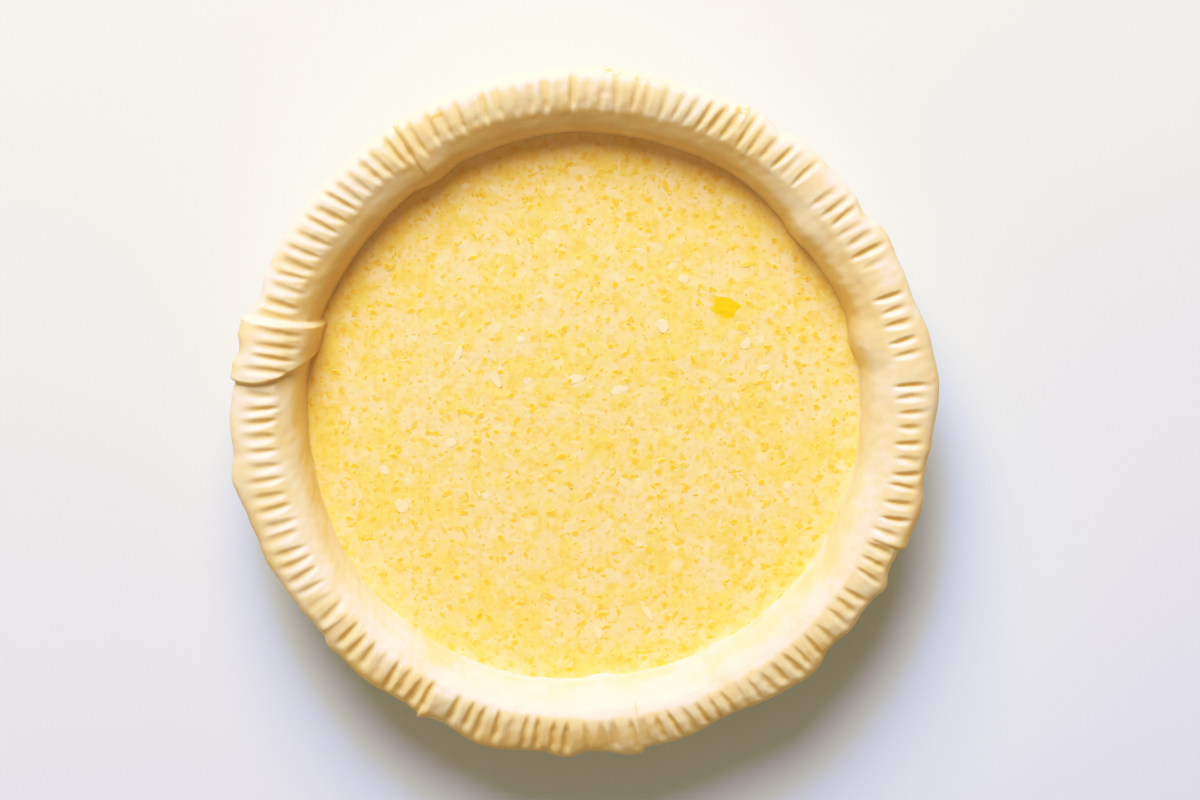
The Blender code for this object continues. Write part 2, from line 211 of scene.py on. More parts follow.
def lumps(points, wavelength, seed, waves=9):
    """Smooth unevenness between -1 and 1: the mean of sine waves of about one length in random directions."""
    draw = np.random.default_rng(seed)
    directions = draw.normal(size=(waves, 3))
    directions /= np.linalg.norm(directions, axis=1)[:, None]
    lengths = wavelength * draw.uniform(0.7, 1.5, waves)
    phases = draw.uniform(0, 2 * math.pi, waves)
    total = np.zeros(points.shape[:-1])
    for direction, length, phase in zip(directions, lengths, phases):
        total += np.sin(points @ direction * (2 * math.pi / length) + phase)
    return total / waves * 1.8


def smooth_through(knots, counts):
    """Points on a smooth curve through the knots, with a count of steps for each stretch between two knots.

    On each stretch a value is the cubic that meets both knots with the slopes of the curve there, which are the
    weighted slopes of the chords on either side. The first two values of a knot set the distance along.
    """
    knots = np.asarray(knots, float)
    along = np.concatenate([[0], np.cumsum(np.linalg.norm(np.diff(knots[:, :2], axis=0), axis=1))])
    slopes = np.gradient(knots, along, axis=0)
    places = np.concatenate([np.linspace(start, end, count, endpoint=False)
                             for start, end, count in zip(along, along[1:], counts)] + [along[-1:]])
    i = np.clip(np.searchsorted(along, places, side="right") - 1, 0, len(along) - 2)
    span = (along[i + 1] - along[i])[:, None]
    share = (places - along[i])[:, None] / span
    return ((1 + 2 * share) * (1 - share) ** 2 * knots[i] + share * (1 - share) ** 2 * span * slopes[i]
            + share ** 2 * (3 - 2 * share) * knots[i + 1] - share ** 2 * (1 - share) * span * slopes[i + 1])


def made_mesh(name, points, faces, material, shares=None):
    """An object of these vertices and faces, at the origin, shaded smooth, with the named shares as attributes of
    its vertices. It rides on the one body."""
    mesh = bpy.data.meshes.new(name)
    mesh.from_pydata(np.asarray(points).reshape(-1, 3).tolist(), [], faces)
    mesh.shade_smooth()
    mesh.materials.append(material)
    for share, values in (shares or {}).items():
        mesh.attributes.new(share, "FLOAT", "POINT").data.foreach_set("value", values)
    piece = bpy.data.objects.new(name, mesh)
    bpy.context.scene.collection.objects.link(piece)
    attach(piece, "root")
    return piece


def ring_faces(rows, columns):
    """Quads between neighbouring rings, and a fan from the first and the last ring to a pole each.

    Vertices run ring after ring, and the two poles come last. The rings run from the upper side outwards.
    """
    ring = np.arange(columns)
    follow = (ring + 1) % columns
    row = np.arange(rows - 1)[:, None] * columns
    quads = np.stack([row + ring, row + columns + ring, row + columns + follow, row + follow], axis=-1)
    last_row, top, bottom = (rows - 1) * columns, rows * columns, rows * columns + 1
    first = np.stack([np.full(columns, top), ring, follow], axis=-1)
    last = np.stack([np.full(columns, bottom), last_row + follow, last_row + ring], axis=-1)
    return quads.reshape(-1, 4).tolist() + first.tolist() + last.tolist()


def closed_rings(radius, height, angles, top, bottom):
    """Points of rings at radius and height, both given per ring and column, with the two poles' heights."""
    turn = np.radians(angles)[None, :]
    points = np.stack([radius * np.cos(turn), radius * np.sin(turn), height], axis=-1).reshape(-1, 3)
    return np.vstack([points, [[0, 0, top], [0, 0, bottom]]])


def wall_radius(height):
    """Radius of the lining's inner face: the dish's inner wall moved in by the gap and the dough's thickness."""
    (foot_radius, foot_height), (top_radius, top_height) = DISH_INNER_WALL_FOOT, DISH_INNER_WALL_TOP
    slope = (top_radius - foot_radius) / (top_height - foot_height)
    sideways = (DOUGH_THICKNESS + CLEARANCE) * math.hypot(1, slope)
    return foot_radius + (height - foot_height) * slope - sideways


def stroke_at(angle):
    """The fork's slant and depth share at a place round the rim, read straight between the listed places."""
    places, slants, depths = zip(*STROKES)
    place = places[0] + (angle - places[0]) % 360
    return float(np.interp(place, places, slants)), float(np.interp(place, places, depths))


def fork_marks():
    """(angle, slant, depth share) of each tine mark."""
    draw = random.Random(SEED)
    marks = []
    for first, last, count in MARK_RUNS:
        for step in range(count):
            place = first + (last - first) * step / (count - 1)
            slant, depth = stroke_at(place)
            slant += draw.uniform(-5, 5)
            depth *= 0.35 if draw.random() < FAINT_SHARE else draw.uniform(0.6, 1.1)
            marks.append((place + draw.uniform(-MARK_JITTER, MARK_JITTER), slant, depth))
    return marks


def fork_dents(angles, radii):
    """Depth share of the fork's marks at each ring and column.

    Across a mark it is one less the square of the sideways distance over the half width, squared. Along it a
    smooth rise at its inner end meets a fall at its outer end, which is quicker at the near side. Both ends
    wander by small waves round the rim and a random step. A slanting mark's middle moves sideways by the tangent
    of its slant times the distance from the crimp's own radius, and its inner end narrows.
    """
    draw = np.random.default_rng(SEED + 2)
    dents = np.zeros((len(radii), len(angles)))
    for angle, slant, depth in fork_marks():
        shift = LAP_MARK_SHIFT * float(LAP_START_ANGLE - 1 < angle < LAP_END_ANGLE - 1)
        turn = math.radians(angle)
        near, far = max(0.0, -math.sin(turn)), max(0.0, math.sin(turn))
        inner = (MARK_INNER_RADIUS - shift + draw.uniform(-0.0007, 0.0007)
                 + 0.0009 * math.cos(turn) - 0.0008 * far - 0.0006 * math.cos(2 * turn))
        outer = (MARK_OUTER_RADIUS - 0.1 * shift + draw.uniform(-0.0009, 0.0006)
                 + 0.0021 * far + 0.0006 * near - 0.0007 * math.cos(2 * turn))
        falloff = MARK_OUTER_SOFTNESS * (1 - 0.4 * near)
        half_width = MARK_HALF_WIDTH * draw.uniform(0.8, 1.2) * (1 + 0.12 * math.cos(math.radians(angle - 170)))
        bend = draw.uniform(-0.0004, 0.0004)
        share = np.clip((radii - inner) / (outer - inner), 0, 1)
        middle = angle + np.degrees(math.tan(math.radians(slant)) * (radii - CRIMP_RADIUS) / CRIMP_RADIUS)
        sideways = np.radians(angle_gap(angles[None, :], middle[:, None])) * radii[:, None]
        sideways += (bend * np.sin(math.pi * share))[:, None]
        tapered = half_width * (0.55 + 0.45 * smooth_step(share - 0.3, 0.3))[:, None]
        across = np.clip(1 - (sideways / tapered) ** 2, 0, 1) ** 2
        along = (smooth_step(radii - inner - MARK_INNER_SOFTNESS, MARK_INNER_SOFTNESS)
                 * smooth_step(outer - falloff - radii, falloff))
        dents = np.maximum(dents, depth * across * along[:, None])
    return dents


def edge_reach(angles):
    """How far the trimmed edge stands out: a base, two small waves and the tabs."""
    turn = np.radians(angles)
    return EDGE_BASE + 0.0002 * np.sin(13 * turn + 0.6) + 0.00015 * np.sin(29 * turn) + hills(angles, EDGE_TABS)


def rim_lift(angles, radii):
    """Slow rise and fall of the folded rim, at each ring and column: three waves round it, and a lean that goes
    with the sine of the angle, inwards at the far side and outwards at the near side."""
    turn = np.radians(angles)[None, :]
    waves = np.sin(2 * turn + 1.1) + 0.7 * np.sin(5 * turn + 0.3) + 0.5 * np.sin(11 * turn)
    return RIM_LIFT * waves / 2 + RIM_TILT * np.sin(turn) * (radii[:, None] - CRIMP_RADIUS)


def wall_swell(angles):
    """How much thicker than plain the lining is: two waves and the swells."""
    turn = np.radians(angles)
    wander = 0.0004 * np.sin(4 * turn + 0.9) + 0.0003 * np.sin(9 * turn + 2.4)
    return wander + hills(angles, WALL_SWELLS)


def droop(angles):
    """How far the edge hangs down, as a share: a slow wave, and more where the edge stands out."""
    return 0.5 + 0.5 * np.sin(6 * np.radians(angles) + 0.8) + (edge_reach(angles) - EDGE_BASE) / 0.0026


def lap_share(angles, radii):
    """1 on the folded-over lap, 0 off it, at each ring and column.

    The lap starts on a line that leans back towards its tip, and ends on a curve that sweeps in by the square of
    the distance from the outer edge.
    """
    reach = np.clip((radii - LAP_INNER_RADIUS) / (LAP_OUTER_RADIUS - LAP_INNER_RADIUS), 0, 1)[:, None]
    start = LAP_START_ANGLE - LAP_START_LEAN * (1 - reach)
    end = LAP_END_ANGLE - LAP_END_SWEEP * (1 - reach) ** 2
    return smooth_step(angles[None, :] - start, LAP_SOFTNESS) * smooth_step(end - angles[None, :], LAP_SOFTNESS)


def pleat_shares(angles, radii):
    """For each pleat, how much of its layer lies at each ring and column: a sharp step at its edge that thins
    out by an exponential away from it, from its inner end to the rim's edge."""
    for place, side, _, _, tail, inner in PLEATS:
        gap = side * angle_gap(angles[None, :], place)
        yield (smooth_step(gap, 0.3) * np.exp(-np.maximum(gap, 0) / tail)
               * smooth_step(radii - inner, 0.0016)[:, None])


def crust_knots():
    """Section of the dough from the middle of its floor over the rim to the middle of its underside: radius,
    height, and how much of the edge's reach, of the lining's swell, of the rim's lift and of the edge's droop
    it takes."""
    floor = DISH_FLOOR_HEIGHT + CLEARANCE + DOUGH_THICKNESS
    sunk = [(wall_radius(height), height, 0, swell, 0, 0)
            for height, swell in ((0.0108, 0), (0.0175, 0.6), (FILL_HEIGHT, 1))]
    shoulder = [(0.1010, 0.0308, 0, 1, 0.35, 0), (0.1024, 0.0355, 0, 1, 0.5, 0), (0.1042, 0.0389, 0, 0.8, 0.7, 0),
                (0.1066, 0.0412, 0, 0.5, 0.9, 0), (0.1096, 0.0429, 0, 0.2, 1, 0), (0.1128, 0.0438, 0, 0, 1, 0)]
    rim = [(0.1158, 0.0441, 0.02, 0, 1, 0), (0.1185, 0.0439, 0.14, 0, 1, 0), (0.1210, 0.0432, 0.45, 0, 1, 0),
           (0.1228, 0.0418, 0.82, 0, 1, 0), (0.1236, 0.0390, 1, 0, 1, 0), (0.1231, 0.0358, 0.9, 0, 1, 1)]
    return [(0.0880, floor, 0, 0, 0, 0)] + sunk + shoulder + rim


CRUST_STEPS = (1, 2, 3, 5, 4, 4, 4, 5, 6, 6, 6, 6, 5, 5, 3)
CRUST_UNDERSIDE = ((0.1224, 0.0354), (0.1213, 0.0385), (0.1148, 0.0383), (0.1119, 0.0352), (0.0940, 0.0081),
                   (0.0890, 0.0048))


def crust_surface(settings):
    """Points and faces of the dough and, for each point, how far the fork pressed it and how much painted shade its
    edge's steps get.

    Each ring of the section is moved outwards along its own normal by the lining's swell, the lap, the pleats,
    the ridges between the marks and small lumps, less the marks' depth. The rim's edge is moved out by its
    reach and the whole rim is lifted by a slow wave.
    """
    shown = smooth_through(crust_knots(), CRUST_STEPS)
    radii, heights, edge, swell, lift, hang = shown.T
    along = np.gradient(shown[:, :2], axis=0)
    along /= np.linalg.norm(along, axis=1)[:, None]
    out_radial, out_up = -along[:, 1], along[:, 0]

    angles = np.arange(settings.columns) * 360 / settings.columns
    turn = np.radians(angles)
    plain = np.stack([radii[:, None] * np.cos(turn), radii[:, None] * np.sin(turn),
                      np.broadcast_to(heights[:, None], (len(radii), len(angles)))], axis=-1)
    dents = fork_dents(angles, radii) * smooth_step(heights - 0.0378, 0.0012)[:, None]
    band = (smooth_step(radii - MARK_INNER_RADIUS, 0.0020) * smooth_step(MARK_OUTER_RADIUS - radii, 0.0016))[:, None]
    above = smooth_step(heights - FILL_HEIGHT + 0.0015, 0.0015)[:, None]
    lap = lap_share(angles, radii) * above

    out = swell[:, None] * wall_swell(angles)[None, :]
    out += LAP_THICKNESS * lap + RIDGE_HEIGHT * band * (1 - dents)
    out += settings.lump_height * (lumps(plain, 0.013, 1) + 0.5 * lumps(plain, 0.005, 2)) * above
    out -= settings.mark_depth * dents
    reach = edge[:, None] * edge_reach(angles)[None, :]
    for (_, _, layer_reach, layer_thick, _, _), share in zip(PLEATS, pleat_shares(angles, radii)):
        out += layer_thick * share
        reach += edge[:, None] * layer_reach * share

    radius = radii[:, None] + out_radial[:, None] * out + reach
    height = (heights[:, None] + out_up[:, None] * out + lift[:, None] * rim_lift(angles, radii)
              - EDGE_DROOP * hang[:, None] * droop(angles)[None, :])
    under = np.array(CRUST_UNDERSIDE)
    ones = np.ones((1, len(angles)))
    radius = np.vstack([radius, under[:, :1] * ones])
    height = np.vstack([height, under[:, 1:] * ones])
    points = closed_rings(radius, height, angles, heights[0], under[-1, 1])
    hidden = np.zeros(under.shape[0] * len(angles) + 2)
    shares = {"pressed": dents, "edge_shade": edge_shade_share(angles, radii)}
    return (points, ring_faces(len(radius), len(angles)),
            {name: np.concatenate([share.ravel(), hidden]) for name, share in shares.items()})


def edge_shade_share(angles, radii):
    """Painted shade on the steps of the dough's edge at each ring and column: a hill along the rim times a hill
    across it.
    """
    return sum(hill(angle_gap(angles, place), width)[None, :] * hill(radii - middle, 0.0008)[:, None]
               for place, width, middle in EDGE_SHADE_PLACES)


def filling_edge(angles):
    """Radius of the filling's top: the lining's inner face at its level with its swell, lap and a little more."""
    radius = wall_radius(FILL_HEIGHT)
    lap = lap_share(angles, np.array([radius]))[0]
    return radius - wall_swell(angles) - LAP_THICKNESS * lap * 0.5 + 0.0006


def filling_height(flat, inside):
    """Height of the filling's top: three sizes of low lumps that die out at the wall, and an uneven film that
    creeps up it by an exponential of the distance inside it."""
    relief = 0.00007 * lumps(flat, 0.0045, 11) + 0.00006 * lumps(flat, 0.011, 12) + 0.00005 * lumps(flat, 0.0026, 13)
    film = (0.0005 + 0.0003 * lumps(flat, 0.0035, 14)) * np.exp(-inside / 0.0007)
    return FILL_HEIGHT + relief * np.minimum(1, inside / 0.002) + film


def height_at(places):
    """Height of the filling's top at places away from the wall."""
    flat = np.concatenate([places, np.zeros(places.shape[:-1] + (1,))], axis=-1)
    return filling_height(flat, np.full(places.shape[:-1], 0.01))


def filling_surface():
    """Points of the filling: a disc of rings that crowd towards the wall; below, it narrows with the lining."""
    columns, rings = 480, 112
    angles = np.arange(columns) * 360 / columns
    share = 1 - (1 - np.linspace(0, 1, rings + 1)[1:]) ** 1.25
    edge = filling_edge(angles)[None, :]
    radius = share[:, None] * edge
    turn = np.radians(angles)
    flat = np.stack([radius * np.cos(turn), radius * np.sin(turn), np.zeros_like(radius)], axis=-1)
    height = filling_height(flat, edge - radius)
    floor = DISH_FLOOR_HEIGHT + DOUGH_THICKNESS + CLEARANCE
    ones = np.ones((1, columns))
    radius = np.vstack([radius, (wall_radius(0.0175) + 0.0003) * ones, (wall_radius(0.0112)) * ones])
    height = np.vstack([height, 0.0175 * ones, floor * ones])
    return closed_rings(radius, height, angles, FILL_HEIGHT, floor), ring_faces(len(radius), columns)


def dish_surface():
    """Points of the dish: its section, smoothed through the knots of the turned solid, carried round."""
    columns = 256
    knots = ((0.0890, 0.0045), (0.0914, 0.0051), (0.0942, 0.0078), (0.1122, 0.0350), (0.1150, 0.0379),
             (0.1190, 0.0380), (0.1210, 0.0374), (0.1216, 0.0359), (0.1210, 0.0344), (0.1190, 0.0338),
             (0.1157, 0.0337), (0.1137, 0.0318), (0.0952, 0.0037), (0.0934, 0.0016), (0.0908, 0.0003),
             (0.0888, 0.0000))
    section = smooth_through(knots, (2, 2, 10, 3, 3, 3, 3, 3, 3, 3, 3, 12, 3, 3, 3))
    ones = np.ones((1, columns))
    angles = np.arange(columns) * 360 / columns
    section[:, 1] = np.maximum(section[:, 1], 0)
    points = closed_rings(section[:, :1] * ones, section[:, 1:] * ones, angles, DISH_FLOOR_HEIGHT, 0)
    return points, ring_faces(len(section), columns)


def scatter(count, reach, jitter, room, draw):
    """Places spread evenly over a disc, less the room round the big lump: a golden-angle spiral of equal areas,
    each moved by a random step."""
    order = np.arange(count) + 0.5
    radius = reach * np.sqrt(order / count)
    turn = order * GOLDEN_TURN
    places = np.stack([radius * np.cos(turn), radius * np.sin(turn)], axis=-1)
    places += draw.normal(scale=jitter * reach / math.sqrt(count), size=places.shape)
    return places[np.linalg.norm(places - np.array(BIG_LUMP_PLACE), axis=1) > room]


BIG_LUMP_PLACE = (0.0506, 0.0371)
# Its outline: angle, radius
BIG_LUMP_OUTLINE = (
    (6, 0.0069), (24, 0.0054), (42, 0.0048), (74, 0.0043), (111, 0.0049), (132, 0.0069), (146, 0.0056), (159, 0.0050),
    (175, 0.0062), (190, 0.0062), (205, 0.0053), (225, 0.0042), (245, 0.0040), (262, 0.0046), (281, 0.0051),
    (305, 0.0053), (335, 0.0045), (355, 0.0056),
)

# Pieces that stand out, each listed: place across and along, half length and half width in millimetres,
# and turn in degrees
BUTTER_PIECES = (
    (-36, 17.5, 2, 1.5, 60), (-35.5, -7, 2, 1, 5), (-39, -11.5, 2, 1.5, 90), (-8.5, -17.5, 3, 1.5, 25),
    (-37.5, -2, 1.5, 1.5, 0), (28, -19, 2, 1, 0), (35.5, -20.5, 1.5, 1, -10), (-28, -29, 1.5, 1, 60),
    (-50, -31, 2, 1.5, 10), (3, -29, 2, 1, 95), (-16, -25.5, 1.5, 1, 8), (-10, 19, 1.5, 1, 4), (1.5, 21.5, 2, 1, 110),
    (-51.5, -4, 1.5, 1, 120), (77.5, 43.5, 1.5, 1.5, 70), (80, 40.5, 1.5, 1, 30), (76, 22.5, 1.5, 1.5, 15),
    (53, 59, 1.5, 1, 80), (58, 53, 3, 1.5, 10), (68, 52, 1.5, 1, -25), (56.5, 30, 3, 2, -55), (-71, -14, 2, 1, 70),
    (-67, -24, 1.5, 1, 100), (-30.5, -48, 2, 1.5, 100), (-84, -34, 2, 1, 85), (-44, -45, 2, 1, 110),
    (-38.5, -77, 2, 1.5, 70), (5, -59, 2.5, 1, 20), (-22, -71, 2, 1, 100), (6, -76.5, 3, 1.5, 3),
    (28, -86.5, 1.5, 1.5, 25), (22.5, -90.5, 3.5, 1, 5), (46, -81, 1.5, 1.5, 60), (-58.5, -70, 1.5, 1.5, 35),
    (-41.5, -69, 2.5, 1, -20), (39, 18, 2.5, 1, 115), (49.5, 2, 2.5, 1, 120), (46, -6, 2, 1.5, 80),
    (64.5, -13.5, 2, 1.5, 120), (77, -22, 2, 1, 80), (85, -25, 2, 1.5, 45), (65.5, -35, 2, 1.5, 60),
    (64, 10, 3.5, 1, 5), (6, 86.5, 1.5, 1.5, 85), (29, 81, 3.5, 1.5, 120), (-19.5, 73.5, 2, 1, 50),
    (-56, 72, 1.5, 1.5, 40), (-70.5, 52, 2, 1.5, 100), (-3.5, -46, 1.5, 1.5, 81),
)
COCONUT_FLAKES = (
    (-23, 25.5, 2, 1.5, 10), (-45.5, 20, 3.5, 1.5, 65), (-32, 11, 3.5, 2, 120), (-20.5, 10.5, 2, 1.5, 3),
    (-3, 11, 3, 2, 14), (-48.5, -12.5, 2.5, 2, 5), (12.5, 7, 3.5, 2, 12), (35.5, 47.5, 2.5, 1.5, -8),
    (28, 30.5, 3, 2.5, 40), (58, 24, 2.5, 2, 75), (-72.5, -22.5, 2, 2, 33), (-66.5, -36, 3, 2.5, 100),
    (-36, -32, 2, 1.5, 84), (23, -76, 3.5, 1.5, 125), (5, -83.5, 3, 1.5, 95), (64.5, 15, 2.5, 1.5, 7),
    (69.5, 8, 2.5, 1, 40), (73.5, -28.5, 2, 1.5, 52), (-42.5, 81, 2, 1.5, 20),
)


def strips(places, lengths, widths, thicks, prouds, curls, turns):
    """Points, faces and sunk share of many curled strips, each a rounded bar along a shallow arc with pointed
    ends. The sunk share rises to 1 at the strip's edges and at its ends.

    Along a strip the share runs from -1 to 1: the heading turns by the curl, and the width and the thickness
    are the square root of one less the share squared. Across it lie five points of a half oval and a keel.
    """
    sections = 7
    share = np.linspace(-1, 1, sections) * 0.97
    size = np.sqrt(1 - share ** 2)
    heading = turns[:, None] + curls[:, None] * share[None, :]
    step = lengths[:, None] / 2 * np.gradient(share)[None, :]
    along = np.cumsum(np.stack([step * np.cos(heading), step * np.sin(heading)], axis=-1), axis=1)
    along -= along.mean(axis=1, keepdims=True)
    across = np.stack([-np.sin(heading), np.cos(heading)], axis=-1)
    oval = np.array([(-1, 0), (-0.72, 0.7), (0, 1), (0.72, 0.7), (1, 0), (0, -1)])
    half = widths[:, None, None] / 2 * size[None, :, None] * oval[None, None, :, 0]
    flat = places[:, None, None, :] + along[:, :, None, :] + across[:, :, None, :] * half[..., None]
    rise = thicks[:, None, None] * size[None, :, None] * oval[None, None, :, 1] + (prouds - thicks)[:, None, None]
    points = np.concatenate([flat, (height_at(flat) + rise)[..., None]], axis=-1)
    sunk = np.maximum(abs(share[:, None]) ** 3, np.array([1, 0.6, 0, 0.6, 1, 1])[None, :])
    return points.reshape(-1, 3), tube_faces(len(places), sections, len(oval)), np.tile(sunk.ravel(), len(places))


def scattered_strips(count, reach, jitter, lengths, widths, curl, draw):
    """Strips scattered over the filling, with each size drawn evenly from its range."""
    places = scatter(count, reach, jitter, STRIP_ROOM, draw)
    ranges = (lengths, widths, STRIP_THICKNESS, STRIP_PROUD, (-curl, curl), (0, 2 * math.pi))
    return strips(places, *(draw.uniform(low, high, len(places)) for low, high in ranges))


def tube_faces(count, sections, sides):
    """Quads along each of many equal tubes, and a cap at both ends."""
    side = np.arange(sides)
    after = (side + 1) % sides
    tube = np.arange(count)[:, None] * sections * sides
    ring = tube[:, :, None] + np.arange(sections - 1)[:, None] * sides
    quads = np.stack([ring + side, ring + sides + side, ring + sides + after, ring + after], axis=-1)
    last = tube + (sections - 1) * sides + side[::-1]
    return quads.reshape(-1, 4).tolist() + (tube + side).tolist() + last.tolist()


def beads(places, radii, prouds, stretches, turns, sides=9):
    """Points, faces and sunk share of many flattened beads: a keel ring under four rings of a low dome, with an
    outline that two waves bend. The sunk share falls from 1 at a bead's edge to 0 at its top."""
    rings = np.array([(0.75, -2.0), (1.0, -0.4), (0.8, 0.4), (0.55, 0.8), (0.3, 1.0)])
    sunk = np.repeat([1, 1, 0.8, 0.4, 0], sides)
    turn = np.arange(sides) * 2 * math.pi / sides
    local = np.stack([rings[:, :1] * np.cos(turn), rings[:, :1] * np.sin(turn)], axis=-1)
    wave = 1 + 0.13 * np.sin(2 * turn + 7 * turns[:, None]) + 0.1 * np.sin(3 * turn + 11 * turns[:, None])
    stretched = local[None] * wave[:, None, :, None] * np.stack([stretches, 1 / stretches], axis=-1)[:, None, None]
    cos, sin = np.cos(turns)[:, None, None], np.sin(turns)[:, None, None]
    spun = np.stack([stretched[..., 0] * cos - stretched[..., 1] * sin,
                     stretched[..., 0] * sin + stretched[..., 1] * cos], axis=-1)
    flat = places[:, None, None, :] + radii[:, None, None, None] * spun
    rise = prouds[:, None, None] * np.broadcast_to(rings[None, :, 1:], (len(places), len(rings), sides))
    points = np.concatenate([flat, (height_at(flat) + rise)[..., None]], axis=-1)
    return points.reshape(-1, 3), tube_faces(len(places), len(rings), sides), np.tile(sunk, len(places))


def placed_beads(rows, proud):
    """Beads at the listed places: the radius is the root of half length times half width, the stretch the root of
    their ratio."""
    across, along, length, width, turns = (np.array(column, dtype=float) for column in zip(*rows))
    return beads(np.stack([across, along], axis=-1) / 1000, np.sqrt(length * width) / 1000,
                 np.full(len(rows), proud), np.sqrt(length / width), np.radians(turns), sides=16)


def lump_surface(place, outline, proud, sides=96, rings=12):
    """Points, faces and sunk share of a flat lump of butter: rings of one outline, read straight between its
    angles, under a dome that falls by the square of the share of the radius and dips below the filling."""
    degrees = np.arange(sides) * 360 / sides
    angles, radii = zip(*outline)
    reach = np.interp(degrees, angles, radii, period=360)
    reach = (np.roll(reach, 1) + 2 * reach + np.roll(reach, -1)) / 4
    share = np.concatenate([np.linspace(0.08, 1, rings), [0.94]])[:, None]
    rise = np.concatenate([1 - 1.5 * np.linspace(0.08, 1, rings) ** 2, [-3]])[:, None] * proud
    x = place[0] + share * reach * np.cos(np.radians(degrees))
    y = place[1] + share * reach * np.sin(np.radians(degrees))
    points = np.stack([x, y, height_at(np.stack([x, y], axis=-1)) + rise], axis=-1).reshape(-1, 3)
    level = float(height_at(np.array(place)))
    poles = [[place[0], place[1], level + proud], [place[0], place[1], level - 4 * proud]]
    sunk = np.concatenate([np.repeat(np.linspace(0.08, 1, rings) ** 8, sides), np.ones(sides), [0, 1]])
    return np.vstack([points, poles]), ring_faces(rings + 1, sides), sunk


class Finish:
    """A node material being put together: most methods add a node and return its output."""

    def __init__(self, name, roughness):
        self.material = bpy.data.materials.new(name)
        self.material.use_nodes = True
        self.nodes = self.material.node_tree.nodes
        self.links = self.material.node_tree.links
        self.shader = self.nodes["Principled BSDF"]
        self.shade({"Roughness": roughness})
        self.place = self.nodes.new("ShaderNodeTexCoord").outputs["Object"]

    def fill(self, node, values):
        """Gives a node's sockets their values, each a constant or another node's output."""
        for socket, value in values.items():
            if isinstance(value, bpy.types.NodeSocket):
                self.links.new(value, node.inputs[socket])
            else:
                node.inputs[socket].default_value = value

    def shade(self, values):
        """Gives the shader's own sockets their values."""
        self.fill(self.shader, values)

    def add(self, kind, values, **traits):
        """A new node of this kind, with its traits set and then its sockets."""
        node = self.nodes.new("ShaderNode" + kind)
        for trait, value in traits.items():
            setattr(node, trait, value)
        self.fill(node, values)
        return node

    def noise(self, size, detail=3, roughness=0.5, distortion=0.0):
        """Cloudy pattern with features of about this size in metres, 0 to 1."""
        return self.add("TexNoise", {"Vector": self.place, "Scale": 1 / size, "Detail": detail,
                                     "Roughness": roughness, "Distortion": distortion}).outputs["Fac"]

    def spots(self, size, reach, share, warp=0.5):
        """Soft spots seen from above, at a share of random points about this far apart: 1 in the middle, 0 beyond
        the reach. The reach is a share of the size, and the warp bends their outlines."""
        noise = self.add("TexNoise", {"Vector": self.place, "Scale": 3 / size})
        bent = self.add("VectorMath", {0: noise.outputs["Color"], 1: (warp * size,) * 3, 2: self.place},
                        operation="MULTIPLY_ADD")
        cells = self.add("TexVoronoi", {"Vector": bent.outputs["Vector"], "Scale": 1 / size},
                         voronoi_dimensions="2D")
        parts = self.add("SeparateColor", {"Color": cells.outputs["Color"]})
        near = self.levels(cells.outputs["Distance"], reach * 0.1, reach, 1, 0)
        return self.maths("MULTIPLY", near, self.maths("LESS_THAN", parts.outputs["Red"], share))

    def distance(self, place):
        """How far a point of the piece is from a place."""
        return self.add("VectorMath", {0: self.place, 1: place}, operation="DISTANCE").outputs["Value"]

    def attribute(self, name):
        """The mesh's own value of this name."""
        return self.add("Attribute", {}, attribute_name=name).outputs["Fac"]

    def levels(self, value, low, high, to_low=0.0, to_high=1.0):
        """The value stretched so that low and high become to_low and to_high, and held there beyond them."""
        return self.add("MapRange", {"Value": value, "From Min": low, "From Max": high, "To Min": to_low,
                                     "To Max": to_high}, interpolation_type="SMOOTHSTEP").outputs["Result"]

    def maths(self, operation, *values):
        """Values joined by an operation such as ADD or MULTIPLY."""
        return self.add("Math", dict(enumerate(values)), operation=operation).outputs["Value"]

    def mix(self, share, first, second):
        """One colour into another by a share; each is a constant or an output."""
        first, second = (value if isinstance(value, bpy.types.NodeSocket) else (*value, 1)
                         for value in (first, second))
        return self.add("Mix", {0: share, 6: first, 7: second}, data_type="RGBA").outputs[2]

    def bump(self, height, distance, strength):
        """Adds fine relief; a second call lies on top of the first."""
        values = {"Height": height, "Distance": distance, "Strength": strength}
        normal = self.shader.inputs["Normal"]
        if normal.is_linked:
            values["Normal"] = normal.links[0].from_socket
        self.shade({"Normal": self.add("Bump", values).outputs["Normal"]})

    def skin(self, weight, radius, scale):
        """Light that spreads under the surface."""
        self.shade({"Subsurface Weight": weight, "Subsurface Radius": radius, "Subsurface Scale": scale})


def raw_dough(settings):
    """Cream dough with floury patches, finely pitted, with painted shade in the fork's marks: a little darker and
    yellower there.
    """
    finish = Finish("raw_dough", 0.5)
    patches = finish.levels(finish.noise(0.022, detail=4, roughness=0.6), 0.38, 0.62)
    grain = finish.noise(0.0011, detail=2)
    colour = finish.mix(patches, settings.colour, settings.pale_colour)
    colour = finish.mix(finish.levels(grain, 0.5, 0.75, 0, 0.25), colour, settings.pale_colour)
    # Painted shade in the fork's marks, by how deep the fork pressed each point
    pressed = finish.levels(finish.attribute("pressed"), 0.1, 0.95, 0, 0.85)
    colour = finish.mix(pressed, colour, settings.pressed_shade_colour)
    # Painted shade on the edge's steps, broken up by a fine noise
    edge_shade = finish.maths("MULTIPLY", finish.attribute("edge_shade"), finish.levels(finish.noise(0.0016), 0.35, 0.6))
    finish.shade({"Base Color": finish.mix(finish.levels(edge_shade, 0.1, 0.9), colour, settings.edge_shade_colour),
                  "Roughness": finish.levels(grain, 0.3, 0.7, 0.42, 0.56), "Specular IOR Level": 0.4})
    finish.bump(finish.noise(0.0045, detail=4, roughness=0.6), 0.0004, 0.35)
    finish.bump(grain, 0.00012, 0.35)
    finish.skin(0.35, (1.0, 0.55, 0.25), 0.0035)
    return finish.material


